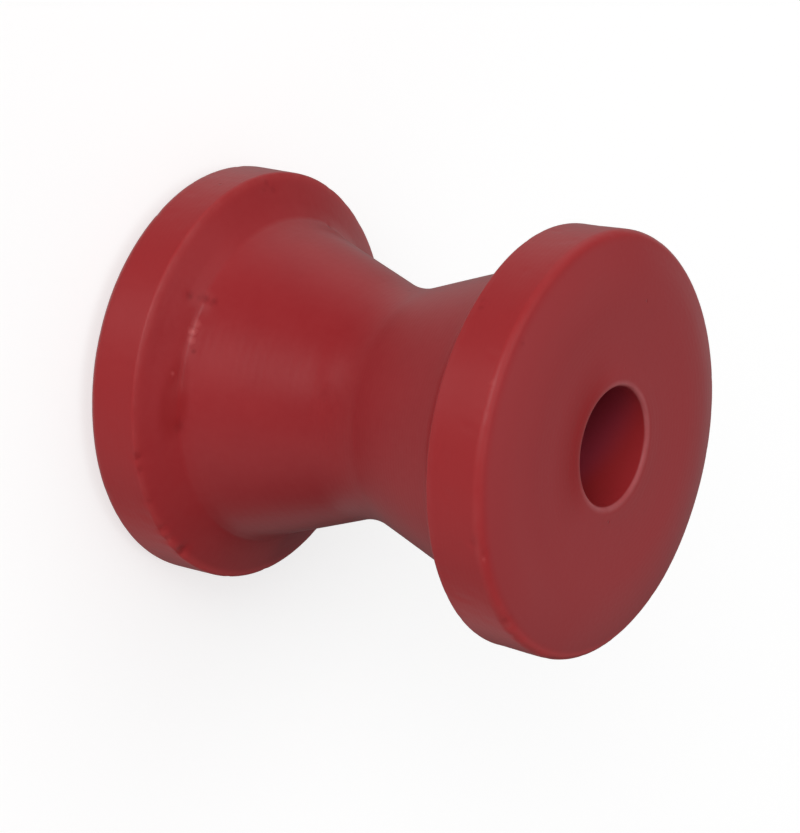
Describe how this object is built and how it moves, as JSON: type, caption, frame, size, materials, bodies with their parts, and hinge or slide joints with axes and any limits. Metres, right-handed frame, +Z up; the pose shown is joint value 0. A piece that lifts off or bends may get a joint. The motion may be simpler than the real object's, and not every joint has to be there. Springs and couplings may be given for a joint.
{
  "type": "boat trailer roller",
  "caption": "Spool-shaped boat trailer keel roller: one cast block with two thick flanges, a body tapered to a rounded waist and a plain spindle bore.",
  "frame": {"origin": "centre of the bore in the end face that the roller stands on", "axes": "+Z runs up along the bore; X and Y are alike, because the roller is round"},
  "size_m": [0.07, 0.07, 0.082],
  "materials": {
    "cast_polyurethane": "satin cast red polyurethane, moulded surface left as cast"
  },
  "bodies": {
    "root": {"roller": "cast_polyurethane"}
  },
  "joints": []
}
